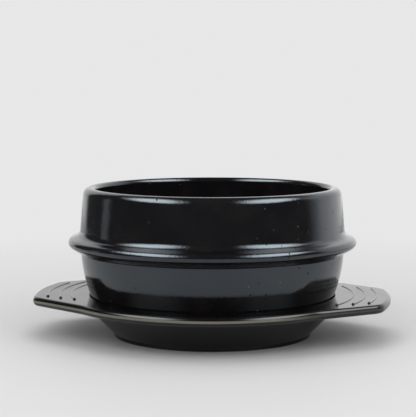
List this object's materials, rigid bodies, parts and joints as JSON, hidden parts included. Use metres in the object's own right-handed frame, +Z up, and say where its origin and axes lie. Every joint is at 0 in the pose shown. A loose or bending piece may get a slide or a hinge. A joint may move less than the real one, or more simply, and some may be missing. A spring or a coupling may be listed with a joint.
{
  "type": "earthenware stew pot",
  "caption": "Low round glazed earthenware pot with a rounded flange about its middle, seated in the well of a round under-plate whose ribbed ears serve as handles.",
  "frame": {"origin": "on the table under the middle of the pot", "axes": "+X towards one ear of the under-plate, +Z up along the pot's axis; -Y is the front, where the ribs end in pips"},
  "size_m": [0.2504, 0.21, 0.1042],
  "materials": {
    "glazed_earthenware": "glossy near-black glaze with a fine orange peel and a few pinholes",
    "black_melamine": "smooth semi-gloss moulding"
  },
  "bodies": {
    "root": {"stew_pot": "glazed_earthenware", "base_plate": "black_melamine"}
  },
  "joints": []
}
